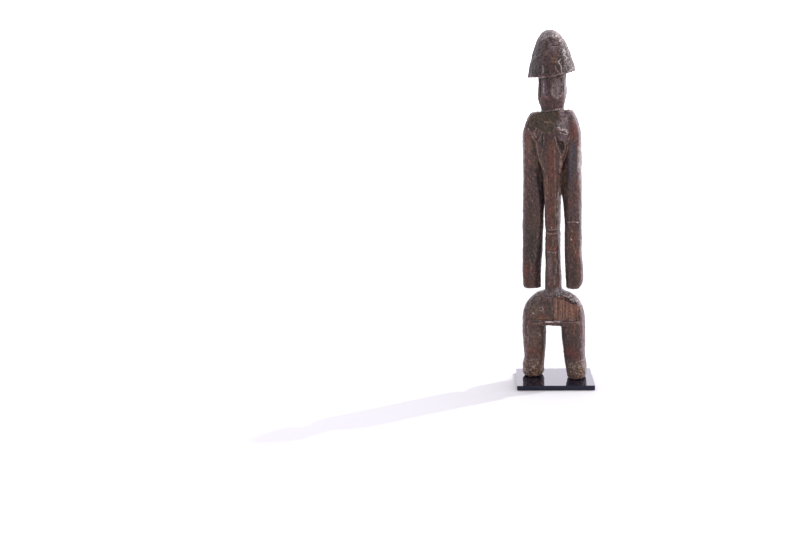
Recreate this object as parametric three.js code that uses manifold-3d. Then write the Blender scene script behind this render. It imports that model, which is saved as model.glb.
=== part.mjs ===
// A carved wooden standing figure under a bell-shaped cap, on a thin glossy display plate.
// Millimetres, +Z up. The origin is the centre of the plate's underside. The figure looks towards -Y.
// The figure is carved from one billet, so it is one solid: each part of the body is a loft through
// cross-sections, and the lofts are joined and then cut as a carver would cut them.

import * as THREE from 'three';
import { mergeVertices } from 'three/addons/utils/BufferGeometryUtils.js';
import Module from 'manifold-3d';

const wasm = await Module();
wasm.setup();

// Driving dimensions of the plate and of the figure's stand on it.
const PLATE_WIDTH = 110;
const PLATE_DEPTH = 92;
const PLATE_THICKNESS = 7;
const SOLE_GAP = 0.3;
const FIGURE_TURN = THREE.MathUtils.degToRad(-12);
const FIGURE_BACK_SHIFT = 9;

// Heights on the figure, from the soles.
const CAP_TOP = 496;
const CAP_RIM = 431;
const LEDGE = 85.5;
const CROTCH = 79.5;
const HIP_BASE = 80;
const HIP_RISE = 48;

// Half widths and depths that several parts share.
const CAP_HALF_WIDTH = 33.4;
const CAP_HALF_DEPTH = 31;
const HIP_HALF_WIDTH = 45;
const HIP_FRONT = -22;
const HIP_BACK = 22;
const PARED_FRONT = -19.4;

// Each row of a station table is a height followed by the sizes there. X runs to the viewer's right
// and Y runs to the back, so a front is a negative number.

// Torso: height, left ridge, right ridge, front, left flank, right flank, flank depth, back half
// width, back.
const TORSO = [
  [112, -22, 22, -13, -27, 27, -6, 22, 15],
  [124, -10, 10, -12, -14, 14.5, -5.5, 11, 12],
  [130, -7, 6.6, -11, -11.3, 12, -6.5, 8, 10.5],
  [140, -6.5, 6, -10.5, -11.2, 11.4, -7.2, 7.5, 10],
  [187, -6.5, 5.8, -10.8, -10.4, 10.2, -7.2, 7, 10],
  [188, -7, 6, -12.6, -10.4, 10.3, -8, 7, 10],
  [213.8, -6.5, 5.8, -12, -10.3, 10, -8, 7, 10.5],
  [215.3, -6, 5.4, -11.1, -9.7, 9.4, -7.6, 6.6, 10],
  [216.8, -6.5, 5.8, -12, -10.3, 10, -8, 7, 10.5],
  [260, -8, 6, -13, -11, 11.2, -8.4, 8, 11.5],
  [280, -8.5, 6, -13.8, -12, 12, -8.6, 9, 13.2],
  [300, -9, 6.2, -14.5, -13.4, 13.8, -9, 11, 14],
  [316, -9.8, 6.8, -15, -18, 18, -9.5, 14, 14.5],
  [330, -10.5, 6.5, -15.5, -22.5, 21.5, -11, 17, 15],
  [350, -11.8, 6, -15.9, -26, 26, -13, 19, 16.5],
  [366, -13, 6, -15, -26, 26, -13, 20, 16],
];

// The right flank leans in towards the front by this much.
const RIGHT_FLANK_DRAFT = 1.6;

// Left arm: height, outer face, inner face, front, back, outer bevel, inner bevel across, inner bevel
// deep. Across is measured outwards from the middle of the body.
const LEFT_ARM = [
  [130.5, 41.5, 18.4, -11.5, 11, 5, 8, 9],
  [133.5, 43, 18.3, -12.5, 12, 4, 8.5, 11],
  [151, 44, 18.2, -13, 12.5, 4, 8.5, 12],
  [186, 43, 15.6, -13, 12.5, 4, 6, 10],
  [222, 42.6, 14.6, -13, 12.5, 4, 3.2, 8],
  [245, 42.2, 13.4, -13, 12.5, 4, 4, 9],
  [257, 41.9, 12.6, -13, 12.5, 4, 5.4, 11],
  [266, 41.8, 10.5, -13, 12.5, 4, 8.8, 12],
  [280, 41.4, 11, -13, 12.5, 4, 10.5, 12.5],
  [300, 41.2, 12.5, -13, 12.5, 4, 12, 12],
  [318, 41.2, 17.5, -13.3, 13, 4, 8, 9],
  [338, 41.2, 22.5, -14, 13, 4, 4, 6],
  [350, 40.8, 23, -15.2, 13.5, 4.5, 4, 6],
  [358, 39.8, 23, -15.8, 14, 5, 4, 6],
  [367, 37.6, 23, -16, 14, 5.5, 4, 6],
];

// Right arm, with the same columns.
const RIGHT_ARM = [
  [131.5, 37, 18.5, -11.5, 11, 5, 5.5, 7],
  [136, 40.5, 18.5, -12.5, 12, 4, 5.5, 7],
  [141, 42.4, 18.4, -12.8, 12.3, 4, 5.5, 7],
  [151, 42.4, 18.2, -13, 12.5, 5, 6, 7],
  [186, 40.2, 16.8, -13, 12.5, 5, 6.5, 7],
  [222, 40, 17, -13, 12.5, 5, 6.5, 8],
  [255, 40.2, 15, -13, 12.5, 5, 9.5, 10],
  [274, 40.3, 10.8, -13, 12.5, 4.5, 14.5, 12],
  [300, 40.4, 12.8, -13, 12.5, 4.5, 13.5, 12],
  [318, 40.4, 17.5, -13.3, 13, 4, 9, 9],
  [338, 40, 22, -14, 13, 4, 5, 6],
  [350, 39.2, 22.5, -15.2, 13.5, 4.5, 5, 6],
  [358, 37.8, 22.5, -15.8, 14, 5, 5, 6],
  [367, 35.6, 22.5, -16, 14, 5.5, 5, 6],
];

// Shoulders: height, left half width, right half width, front, back, corner bevel.
const SHOULDERS = [
  [342, 32, 31, -13, 11, 4],
  [353, 38, 36.5, -16, 13, 5],
  [362, 38.6, 36.6, -16.4, 15.5, 5],
  [370, 37.4, 34.6, -16.3, 16, 5.5],
  [377, 34.8, 32, -15.6, 15, 6],
  [381.5, 32.2, 30, -14.4, 12.5, 6],
  [384.5, 29.6, 28, -12.6, 11, 6],
];

// The shoulders climb towards the viewer's right by this much for each millimetre across.
const SHOULDER_SLOPE = 0.055;

// Head and neck: height, left half width, right half width, front, back, the face's left and right
// edges, temple depth.
const HEAD = [
  [374, 15.5, 16.5, -14, 13, 9, 9.5, -6],
  [386, 15.5, 16.5, -14.5, 13.5, 9.5, 10.5, -7],
  [390, 16, 16.8, -15, 14, 10, 12, -8],
  [402, 19.5, 19.5, -18.5, 16, 12, 15.5, -10],
  [410, 19.3, 21, -19.5, 17, 12.5, 17, -11],
  [424, 18, 20, -19.5, 17.5, 12, 16.6, -11],
  [440, 18, 19.6, -19.5, 17.5, 12, 16.4, -11],
];

// Hollows scooped from the face and the temples: middle across, middle deep, foot, half width, half
// depth, straight length.
const FACE_SCOOPS = [
  [8.8, -23, 398.2, 9.4, 5.8, 26],
  [-5.6, -22.2, 402.6, 4.5, 4.8, 28],
  [18.8, -17.4, 404, 1.8, 3.4, 26],
  [-14.2, -18, 402, 1.9, 3.4, 28],
];

// Hollows gouged under the chest: middle across, deep and up, then the three half sizes and the lean
// in degrees.
const CHEST_GOUGES = [
  [14.6, -16.5, 338, 4.2, 7.5, 15.5, 23],
  [-11.4, -17, 344, 1.7, 3.6, 12, 2],
];

// Left leg: height, middle across, half width, front, back.
const LEFT_LEG = [
  [0, -29.8, 11.2, -15.5, 12],
  [1.5, -30.2, 13.2, -17, 14],
  [4.5, -30.5, 15.1, -18, 15.5],
  [17, -30.2, 15.4, -18, 17],
  [28, -28.4, 14.8, -15.5, 15],
  [45, -28.2, 16.2, -17, 16],
  [66, -28.4, 16.8, -20, 17.5],
  [75, -28.3, 16.8, -21.2, 18.6],
  [80, -26.9, 18, -21.6, 19],
  [90, -27.6, 15.4, -21, 18.5],
];

// Right leg, with the same columns.
const RIGHT_LEG = [
  [0, 33.3, 11.3, -18.3, 12.5],
  [1.5, 33.6, 12.7, -19.6, 14],
  [5, 33.6, 13.5, -20.2, 15.5],
  [17, 32.6, 14.8, -19.5, 17],
  [28, 30.6, 14.9, -16.5, 15],
  [45, 29.5, 15.7, -17, 16],
  [66, 28.4, 16.8, -20, 17.5],
  [75, 28.3, 16.8, -21.2, 18.6],
  [80, 26.9, 18, -21.6, 19],
  [90, 27.6, 15.4, -21, 18.5],
];

// The bridge between the thighs.
const BRIDGE_HALF_WIDTH = 22;
const BRIDGE_FRONT = -21.6;
const BRIDGE_BACK = 18.4;

// The split patch on the hips: the corners of its outline across and up, then its face, which is set
// back by this much at the middle of the body and turns away towards the side.
const SPLIT_OUTLINE = [
  [3, LEDGE],
  [39, LEDGE],
  [39, 106],
  [29, 113.5],
  [19, 121],
  [3, 121],
];
const SPLIT_FACE = -17.2;
const SPLIT_TURN = THREE.MathUtils.degToRad(10);

// Each rounded corner of a cross-section has this many steps, and a cutter reaches this far past the
// wood.
const CORNER_STEPS = 2;
const CUTTER_REACH = 40;

// Interpolates every column of a station table at height h by a smooth curve that never overshoots.
function stationAt(table, h) {
  let i = 0;
  while (i < table.length - 2 && h > table[i + 1][0]) i += 1;
  const low = table[i];
  const high = table[i + 1];
  const span = high[0] - low[0];
  const t = THREE.MathUtils.clamp((h - low[0]) / span, 0, 1);
  const slopeBetween = (a, b, c) => (table[b][c] - table[a][c]) / (table[b][0] - table[a][0]);
  const slopeAt = (k, c) => {
    if (k === 0 || k === table.length - 1) return 0;
    const before = slopeBetween(k - 1, k, c);
    const after = slopeBetween(k, k + 1, c);
    return before * after > 0 ? (2 * before * after) / (before + after) : 0;
  };
  return low.map((value, c) => {
    if (c === 0) return h;
    const bend = (t * t * t - 2 * t * t + t) * slopeAt(i, c) + (t * t * t - t * t) * slopeAt(i + 1, c);
    const ease = t * t * (3 - 2 * t);
    return value + (high[c] - value) * ease + span * bend;
  });
}

// The heights of a loft: every station of its table, with even steps of about one pitch between them.
function loftHeights(table, pitch) {
  const heights = [table[0][0]];
  for (let i = 1; i < table.length; i += 1) {
    const from = table[i - 1][0];
    const to = table[i][0];
    const steps = Math.max(1, Math.round((to - from) / pitch));
    for (let k = 1; k <= steps; k += 1) heights.push(from + ((to - from) * k) / steps);
  }
  return heights;
}

// Rounds each corner of an outline by a short curve, which takes less than half of a short side.
function roundCorners(corners, radius) {
  const mostOfSide = 0.45;
  const points = [];
  corners.forEach((corner, i) => {
    const before = corners[(i + corners.length - 1) % corners.length];
    const after = corners[(i + 1) % corners.length];
    const start = corner.clone().lerp(before, Math.min(mostOfSide, radius / corner.distanceTo(before)));
    const end = corner.clone().lerp(after, Math.min(mostOfSide, radius / corner.distanceTo(after)));
    points.push(...new THREE.QuadraticBezierCurve(start, corner, end).getPoints(CORNER_STEPS));
  });
  return points;
}

// A superellipse outline, counterclockwise from above: between a circle and a box as its power grows.
function superellipse(middle, halfWidth, front, back, power, count) {
  const centre = (front + back) / 2;
  const halfDepth = (back - front) / 2;
  const reach = (v) => Math.sign(v) * Math.abs(v) ** (2 / power);
  return Array.from({ length: count }, (_, k) => {
    const angle = (2 * Math.PI * k) / count;
    const across = middle + halfWidth * reach(Math.cos(angle));
    const deep = centre + halfDepth * reach(Math.sin(angle));
    return new THREE.Vector2(across, deep);
  });
}

// Lays an outline flat at one height.
function ringAt(outline, h) {
  return outline.map((p) => new THREE.Vector3(p.x, p.y, h));
}

// A closed skin over a stack of rings with equal point counts, from the lowest ring to the highest.
function loft(rings) {
  const count = rings[0].length;
  const indices = [];
  for (let r = 0; r < rings.length - 1; r += 1) {
    for (let k = 0; k < count; k += 1) {
      const a = r * count + k;
      const b = r * count + ((k + 1) % count);
      indices.push(a, b, b + count, a, b + count, a + count);
    }
  }
  const capFaces = (ring) => {
    const outline = ring.map((p) => new THREE.Vector2(p.x, p.y));
    return THREE.ShapeUtils.triangulateShape(outline, []);
  };
  const top = (rings.length - 1) * count;
  capFaces(rings[0]).forEach(([a, b, c]) => indices.push(a, c, b));
  capFaces(rings[rings.length - 1]).forEach(([a, b, c]) => indices.push(top + a, top + b, top + c));
  const geometry = new THREE.BufferGeometry().setFromPoints(rings.flat());
  geometry.setIndex(indices);
  return geometry;
}

// Turns a closed geometry into a solid for joining and cutting.
function solidOf(geometry) {
  const weld = 1e-4;
  const bare = geometry.clone();
  bare.deleteAttribute('normal');
  bare.deleteAttribute('uv');
  const merged = mergeVertices(bare, weld);
  return new wasm.Manifold(
    new wasm.Mesh({
      numProp: 3,
      vertProperties: merged.getAttribute('position').array,
      triVerts: new Uint32Array(merged.index.array),
    }),
  );
}

// Turns a solid back into a geometry.
function geometryOf(solid) {
  const mesh = solid.getMesh();
  const geometry = new THREE.BufferGeometry();
  geometry.setAttribute('position', new THREE.BufferAttribute(mesh.vertProperties, 3));
  geometry.setIndex(new THREE.BufferAttribute(mesh.triVerts, 1));
  geometry.computeVertexNormals();
  return geometry;
}

// An ellipsoid cutter. A positive lean in degrees carries its foot to the viewer's right.
function gouge(x, y, z, radiusX, radiusY, radiusZ, lean) {
  const around = 14;
  const rows = 10;
  const geometry = new THREE.SphereGeometry(1, around, rows);
  geometry.scale(radiusX, radiusY, radiusZ);
  geometry.rotateY(THREE.MathUtils.degToRad(-lean));
  geometry.translate(x, y, z);
  return solidOf(geometry);
}

// A straight-sided cutter: an outline on the XZ plane, pushed from one depth to another.
function frontCutter(outline, fromY, toY) {
  const shape = new THREE.Shape(outline.map(([x, z]) => new THREE.Vector2(x, z)));
  const geometry = new THREE.ExtrudeGeometry(shape, { depth: toY - fromY, bevelEnabled: false });
  geometry.rotateX(Math.PI / 2);
  geometry.translate(0, toY, 0);
  return solidOf(geometry);
}

// A box between three pairs of planes.
function block(fromX, toX, fromY, toY, fromZ, toZ) {
  const geometry = new THREE.BoxGeometry(toX - fromX, toY - fromY, toZ - fromZ);
  geometry.translate((fromX + toX) / 2, (fromY + toY) / 2, (fromZ + toZ) / 2);
  return geometry;
}

// How far the cap's rim climbs above its lowest level, by the angle around the cap in degrees, where
// -90 is the front and 0 the viewer's right: it steps up at a facet's corner and falls away behind.
function rimClimb(degrees) {
  const stepFrom = -74;
  const stepTo = -60;
  const stepHeight = 4;
  const riseTo = 10;
  const riseHeight = 4;
  const fallFrom = 60;
  const fallTo = 160;
  const step = stepHeight * THREE.MathUtils.smoothstep(degrees, stepFrom, stepTo);
  const rise = riseHeight * THREE.MathUtils.smoothstep(degrees, stepTo, riseTo);
  const fall = 1 - THREE.MathUtils.smoothstep(degrees, fallFrom, fallTo);
  return (step + rise) * fall;
}

// The cap is a bell: its half width grows with a power of the depth below the tip. It is a little
// fuller on the viewer's left. Six flat facets are blended into the round, and the levels crowd
// towards the tip, where the bell curves most.
function cap() {
  const facets = 6;
  const points = 36;
  const levels = 14;
  const crowding = 1.6;
  const flatness = 0.5;
  const cornerReach = 1.05;
  const swell = 0.385;
  const leftSwell = 0.025;
  const leftWidth = 0.6;
  const tipReach = 0.06;
  const facetCorner = -105;
  const tipShift = -1.6;
  const rings = [];
  for (let level = 0; level <= levels; level += 1) {
    const depth = (1 - level / levels) ** crowding;
    const ring = [];
    for (let k = 0; k < points; k += 1) {
      const degrees = facetCorner + (360 * k) / points;
      const angle = THREE.MathUtils.degToRad(degrees);
      const rightward = Math.cos(angle);
      const reach = level === levels ? tipReach : depth ** (swell + leftSwell * rightward);
      const inFacet = (((k * facets) / points) % 1) * ((2 * Math.PI) / facets) - Math.PI / facets;
      const flat = Math.cos(Math.PI / facets) / Math.cos(inFacet);
      const radius = reach * (1 + flatness * (flat * cornerReach - 1));
      const x = (CAP_HALF_WIDTH - leftWidth * rightward) * radius * rightward + tipShift * (1 - depth);
      const y = CAP_HALF_DEPTH * radius * Math.sin(angle);
      const rim = CAP_RIM + rimClimb(degrees);
      ring.push(new THREE.Vector3(x, y, CAP_TOP - depth * (CAP_TOP - rim)));
    }
    rings.push(ring);
  }
  return solidOf(loft(rings));
}

// A round-bottomed hollow in the face: an upright capsule, flattened from front to back.
function scoop(x, y, foot, halfWidth, depth, length) {
  const capRows = 5;
  const around = 16;
  const geometry = new THREE.CapsuleGeometry(1, length / halfWidth, capRows, around);
  geometry.rotateX(Math.PI / 2);
  geometry.scale(halfWidth, depth, halfWidth);
  geometry.translate(x, y, foot + halfWidth + length / 2);
  return solidOf(geometry);
}

// The head is a block with a narrower face in front of the temples and a narrower back.
function head() {
  const pitch = 6;
  const cornerRadius = 3;
  const rearInset = 7;
  const rearDraft = 1;
  const backShare = 0.5;
  const rings = loftHeights(HEAD, pitch).map((h) => {
    const [, left, right, front, back, faceLeft, faceRight, temple] = stationAt(HEAD, h);
    const corners = [
      new THREE.Vector2(-faceLeft, front),
      new THREE.Vector2(faceRight, front),
      new THREE.Vector2(right, temple),
      new THREE.Vector2(right - rearDraft, back - rearInset),
      new THREE.Vector2(right * backShare, back),
      new THREE.Vector2(-left * backShare, back),
      new THREE.Vector2(-left + rearDraft, back - rearInset),
      new THREE.Vector2(-left, temple),
    ];
    return ringAt(roundCorners(corners, cornerRadius), h);
  });
  return FACE_SCOOPS.reduce((wood, sizes) => wood.subtract(scoop(...sizes)), solidOf(loft(rings)));
}

function shoulders() {
  const pitch = 6;
  const cornerRadius = 3;
  const rings = loftHeights(SHOULDERS, pitch).map((h) => {
    const [, left, right, front, back, bevel] = stationAt(SHOULDERS, h);
    const corners = [
      new THREE.Vector2(-left + bevel, front),
      new THREE.Vector2(right - bevel, front),
      new THREE.Vector2(right, front + bevel),
      new THREE.Vector2(right, back - bevel),
      new THREE.Vector2(right - bevel, back),
      new THREE.Vector2(-left + bevel, back),
      new THREE.Vector2(-left, back - bevel),
      new THREE.Vector2(-left, front + bevel),
    ];
    const ring = ringAt(roundCorners(corners, cornerRadius), h);
    ring.forEach((p) => p.setZ(p.z + SHOULDER_SLOPE * p.x));
    return ring;
  });
  return solidOf(loft(rings));
}

// The torso is a column with a flat front between two ridges, which widens into the chest.
function torso() {
  const pitch = 8;
  const cornerRadius = 1.5;
  const rearInset = 5;
  const rings = loftHeights(TORSO, pitch).map((h) => {
    const sizes = stationAt(TORSO, h);
    const [, ridgeLeft, ridgeRight, front, flankLeft, flankRight, flankY, backHalf, back] = sizes;
    const corners = [
      new THREE.Vector2(ridgeLeft, front),
      new THREE.Vector2(ridgeRight, front),
      new THREE.Vector2(flankRight - RIGHT_FLANK_DRAFT, flankY),
      new THREE.Vector2(flankRight, back - rearInset),
      new THREE.Vector2(backHalf, back),
      new THREE.Vector2(-backHalf, back),
      new THREE.Vector2(flankLeft, back - rearInset),
      new THREE.Vector2(flankLeft, flankY),
    ];
    return ringAt(roundCorners(corners, cornerRadius), h);
  });
  return CHEST_GOUGES.reduce((wood, sizes) => wood.subtract(gouge(...sizes)), solidOf(loft(rings)));
}

// One arm. The side is 1 for the viewer's right and -1 for the left.
function arm(table, side) {
  const pitch = 12;
  const cornerRadius = 2.5;
  const outerRear = 5;
  const innerRearShare = 0.32;
  const rings = loftHeights(table, pitch).map((h) => {
    const [, outer, inner, front, back, outerBevel, innerAcross, innerDeep] = stationAt(table, h);
    const innerRear = innerRearShare * (outer - inner);
    const corners = [
      new THREE.Vector2(inner + innerAcross, front),
      new THREE.Vector2(outer - outerBevel, front),
      new THREE.Vector2(outer, front + outerBevel),
      new THREE.Vector2(outer, back - outerRear),
      new THREE.Vector2(outer - outerRear, back),
      new THREE.Vector2(inner + innerRear, back),
      new THREE.Vector2(inner, back - innerRear),
      new THREE.Vector2(inner, front + innerDeep),
    ];
    if (side < 0) {
      corners.forEach((corner) => corner.setX(-corner.x));
      corners.reverse();
    }
    return ringAt(roundCorners(corners, cornerRadius), h);
  });
  return solidOf(loft(rings));
}

// The hips are a dome over a short straight foot, in plan a box with round corners. It closes slower
// from front to back than across, and a little slower on the viewer's left.
function hips() {
  const points = 36;
  const levels = 12;
  const lastLevelShort = 0.6;
  const planPower = 3.2;
  const acrossPower = 2.4;
  const leftLag = 0.6;
  const deepPower = 3.4;
  const foot = CROTCH - 0.5;
  const planAt = (across, deep) => {
    const front = HIP_FRONT * deep;
    const back = HIP_BACK * deep;
    const shift = -leftLag * (1 - across);
    return superellipse(shift, HIP_HALF_WIDTH * across, front, back, planPower, points);
  };
  const rings = [ringAt(planAt(1, 1), foot)];
  for (let level = 0; level < levels; level += 1) {
    const rise = Math.sin((Math.PI / 2) * (level / (levels - lastLevelShort)));
    const across = (1 - rise ** acrossPower) ** (1 / acrossPower);
    const deep = (1 - rise ** deepPower) ** (1 / deepPower);
    rings.push(ringAt(planAt(across, deep), HIP_BASE + HIP_RISE * rise));
  }
  return solidOf(loft(rings));
}

function leg(table) {
  const pitch = 9;
  const power = 2.5;
  const points = 24;
  const rings = loftHeights(table, pitch).map((h) => {
    const [, middle, halfWidth, front, back] = stationAt(table, h);
    return ringAt(superellipse(middle, halfWidth, front, back, power, points), h);
  });
  return solidOf(loft(rings));
}

// The bridge between the thighs is as proud as they are and reaches a little up into the hips.
function thighBridge() {
  const lap = 2;
  const [half, front, back] = [BRIDGE_HALF_WIDTH, BRIDGE_FRONT, BRIDGE_BACK];
  return solidOf(block(-half, half, front, back, CROTCH, LEDGE + lap));
}

// Above the ledge the front of the hips is pared back to a flat plane.
function paredFront() {
  const half = HIP_HALF_WIDTH + CUTTER_REACH;
  const top = LEDGE + HIP_RISE + CUTTER_REACH;
  return solidOf(block(-half, half, PARED_FRONT - CUTTER_REACH, PARED_FRONT, LEDGE, top));
}

// The split on the viewer's right of the hips: the wood broke away along the grain, leaving a flat
// patch that is set back at the middle and runs out towards the side.
function splitPatch() {
  const half = HIP_HALF_WIDTH + CUTTER_REACH;
  const top = LEDGE + HIP_RISE + CUTTER_REACH;
  const face = block(-half, half, -CUTTER_REACH, 0, CROTCH - CUTTER_REACH, top);
  face.rotateZ(SPLIT_TURN);
  face.translate(0, SPLIT_FACE, 0);
  return frontCutter(SPLIT_OUTLINE, -CUTTER_REACH, 0).intersect(solidOf(face));
}

function figure() {
  const carved = cap()
    .add(head())
    .add(shoulders())
    .add(torso())
    .add(arm(LEFT_ARM, -1))
    .add(arm(RIGHT_ARM, 1))
    .add(hips())
    .add(leg(LEFT_LEG))
    .add(leg(RIGHT_LEG))
    .add(thighBridge())
    .subtract(paredFront())
    .subtract(splitPatch());
  const wood = new THREE.MeshStandardMaterial({ color: 0x55403b, roughness: 0.55, metalness: 0 });
  const mesh = new THREE.Mesh(geometryOf(carved), wood);
  mesh.name = 'figure';
  return mesh;
}

function displayPlate() {
  const gloss = new THREE.MeshStandardMaterial({ color: 0x0c0c0e, roughness: 0.06, metalness: 0 });
  const mesh = new THREE.Mesh(new THREE.BoxGeometry(PLATE_WIDTH, PLATE_DEPTH, PLATE_THICKNESS), gloss);
  mesh.name = 'display_plate';
  mesh.position.z = PLATE_THICKNESS / 2;
  return mesh;
}

const part = new THREE.Group();
part.add(displayPlate());

const stand = new THREE.Group();
stand.position.set(0, FIGURE_BACK_SHIFT, PLATE_THICKNESS + SOLE_GAP);
stand.rotation.z = FIGURE_TURN;
stand.add(figure());
part.add(stand);

export default part;
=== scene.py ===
# %% [markdown]
# # A carved wooden figure on a glossy display plate
#
# The real object is a slender standing figure, hewn and pared from one billet of dark wood, with a
# bell-shaped cap, hanging arms and short legs. It stands on a thin mirror-black plate. The packed
# solids are the fixed frame: they give every place and size, and this script gives them their looks.
# All lengths in Blender are metres. A carver's sizes are easier to read in millimetres, so MM turns
# one into the other.

import math
from collections import namedtuple

import bmesh
import bpy
import numpy as np
from mathutils import Matrix, Vector, noise


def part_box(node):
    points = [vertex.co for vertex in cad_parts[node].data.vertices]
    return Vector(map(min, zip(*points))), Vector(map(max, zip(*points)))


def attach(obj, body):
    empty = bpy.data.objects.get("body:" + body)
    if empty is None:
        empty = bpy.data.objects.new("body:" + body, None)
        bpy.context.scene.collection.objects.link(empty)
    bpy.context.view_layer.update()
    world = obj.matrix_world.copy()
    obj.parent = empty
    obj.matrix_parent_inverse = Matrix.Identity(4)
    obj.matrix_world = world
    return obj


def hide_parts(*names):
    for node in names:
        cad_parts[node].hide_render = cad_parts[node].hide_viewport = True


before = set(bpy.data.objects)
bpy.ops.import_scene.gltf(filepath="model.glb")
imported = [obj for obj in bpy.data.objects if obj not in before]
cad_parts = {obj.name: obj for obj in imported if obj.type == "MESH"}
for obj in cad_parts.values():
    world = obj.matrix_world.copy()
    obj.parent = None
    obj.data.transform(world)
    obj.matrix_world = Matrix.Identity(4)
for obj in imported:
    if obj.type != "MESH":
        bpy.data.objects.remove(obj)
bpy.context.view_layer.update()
MM = 0.001
print("nodes:", sorted(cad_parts))

# %% [markdown]
# ## The camera
#
# The picture was taken with the camera a little above the hips and slightly left of the middle, about
# 1.6 m away, and tipped down by ten degrees. Its place and angles came from fitting the plate's
# corners and the figure's heights. A camera could be aimed by a constraint, but plain turns are
# easier to read: it is turned upright, rolled, tipped and then swung, in that order.

# %% Camera
CAMERA_PLACE = (-0.0735, -1.5794, 0.4624)
CAMERA_SWING = math.radians(5.337)
CAMERA_TIP = math.radians(-10.301)
CAMERA_ROLL = math.radians(-1.825)
LENS_MM = 50

camera = bpy.data.objects.new("camera", bpy.data.cameras.new("camera"))
camera.data.lens = LENS_MM
camera.matrix_world = (
    Matrix.Translation(CAMERA_PLACE)
    @ Matrix.Rotation(CAMERA_SWING, 4, "Z")
    @ Matrix.Rotation(math.radians(90) + CAMERA_TIP, 4, "X")
    @ Matrix.Rotation(CAMERA_ROLL, 4, "Z")
)
bpy.context.scene.collection.objects.link(camera)
bpy.context.scene.camera = camera
print("camera looks along", [round(-v, 3) for v in camera.matrix_world.col[2][:3]])

# %% [markdown]
# ## Small helpers for nodes
#
# A node tree could be drawn by hand in the editor. In a script each node takes four lines, so these
# few helpers add one node with its options and inputs, an object or a material, and the recipes
# below stay readable.

# %% Node helpers


def node(tree, kind, inputs=None, **settings):
    """Adds a node, sets its options and fills its inputs with values or with other nodes' outputs."""
    made = tree.nodes.new(kind)
    for key, value in settings.items():
        setattr(made, key, value)
    for key, value in (inputs or {}).items():
        if isinstance(value, bpy.types.NodeSocket):
            tree.links.new(value, made.inputs[key])
        else:
            made.inputs[key].default_value = value
    return made


def ramp(tree, value, low, high, to_low=0.0, to_high=1.0, interpolation="LINEAR"):
    """Turns the stretch from low to high into the stretch from to_low to to_high."""
    ends = {"Value": value, "From Min": low, "From Max": high, "To Min": to_low, "To Max": to_high}
    return node(tree, "ShaderNodeMapRange", ends, interpolation_type=interpolation).outputs[0]


def maths(tree, operation, first, second):
    return node(tree, "ShaderNodeMath", {0: first, 1: second}, operation=operation).outputs[0]


def add_object(name, mesh):
    made = bpy.data.objects.new(name, mesh)
    bpy.context.scene.collection.objects.link(made)
    return made


def add_material(name, sockets):
    """Makes a material and sets plain values on its shader's own sockets."""
    made = bpy.data.materials.new(name)
    made.use_nodes = True
    for socket, value in sockets.items():
        made.node_tree.nodes["Principled BSDF"].inputs[socket].default_value = value
    return made


def screen(red_part, green_part, blue_part):
    """Turns a colour as a screen shows it, 0 to 255, into the light that the shader works with."""
    parts = [v / 255 for v in (red_part, green_part, blue_part)]
    return tuple(v / 12.92 if v <= 0.04045 else ((v + 0.055) / 1.055) ** 2.4 for v in parts)


# %% [markdown]
# ## The room
#
# A studio sweep is so bright that floor and wall burn out to one white. A curved sheet could be
# modelled, but a wide floor and a bright sky of light meet just as softly. The light comes mostly from
# behind and from the sides: that makes the mirror-black plate reflect nearly white, and draws pale
# rims along the wood, while its front stays dark. A band of light along the horizon keeps the
# background white from every side. The sky's strength follows the direction of the light alone, so it
# is the same in every view. The Standard view keeps white white.

# %% Room
FLOOR_HALF = 6
FLOOR_SOCKETS = {"Base Color": (0.6, 0.6, 0.6, 1), "Roughness": 0.9}
SKY_FRONT = 0.55
SKY_BACK = 2.6
SKY_TURN = 0.75
HORIZON_GLOW = 1.12
GLOW_FULL_UP_TO = 0.12
GLOW_GONE_FROM = 0.3
SKY_TINT = (1, 0.96, 1.04, 1)
BRIGHT_SIDE = (0.42, 0.9, 0)

floor_form = bmesh.new()
bmesh.ops.create_grid(floor_form, x_segments=1, y_segments=1, size=FLOOR_HALF)
floor_mesh = bpy.data.meshes.new("floor")
floor_form.to_mesh(floor_mesh)
floor_form.free()
floor = add_object("floor", floor_mesh)
floor.data.materials.append(add_material("pale_floor", FLOOR_SOCKETS))

sky = bpy.data.worlds.new("studio")
sky.use_nodes = True
bpy.context.scene.world = sky
tree = sky.node_tree
gaze = node(tree, "ShaderNodeTexCoord").outputs["Generated"]
rise = node(tree, "ShaderNodeSeparateXYZ", {0: gaze}).outputs["Z"]
aim = node(tree, "ShaderNodeVectorMath", {0: gaze, 1: BRIGHT_SIDE}, operation="DOT_PRODUCT")
dome = ramp(tree, aim.outputs["Value"], -SKY_TURN, SKY_TURN, SKY_FRONT, SKY_BACK, "SMOOTHSTEP")
band = ramp(tree, rise, GLOW_FULL_UP_TO, GLOW_GONE_FROM, HORIZON_GLOW, 0, "SMOOTHSTEP")
glow = tree.nodes["Background"]
glow.inputs["Color"].default_value = SKY_TINT
tree.links.new(maths(tree, "MAXIMUM", dome, band), glow.inputs["Strength"])
bpy.context.scene.view_settings.view_transform = "Standard"
print("sky strength from", SKY_FRONT, "in front to", SKY_BACK, "behind")

# %% [markdown]
# ## The lamp
#
# One small strong lamp stands far off, high behind the object on its right. It throws the long, very
# faint shadow to the lower left, and it glints on the tops and on the right-hand edges. An area lamp
# needs a distance, but a sun lamp gives this even light everywhere: its angle alone sets how soft the
# shadow's edge is.

# %% Lamp
LAMP_DIRECTION = Vector((0.563, 0.392, 0.727))
LAMP_STRENGTH = 1.4
LAMP_ANGLE = math.radians(1.2)

lamp = bpy.data.objects.new("key_lamp", bpy.data.lights.new("key_lamp", "SUN"))
lamp.data.energy = LAMP_STRENGTH
lamp.data.angle = LAMP_ANGLE
lamp.rotation_euler = LAMP_DIRECTION.to_track_quat("Z", "Y").to_euler()
bpy.context.scene.collection.objects.link(lamp)
print("lamp shines from", [round(v, 2) for v in LAMP_DIRECTION])

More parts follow.
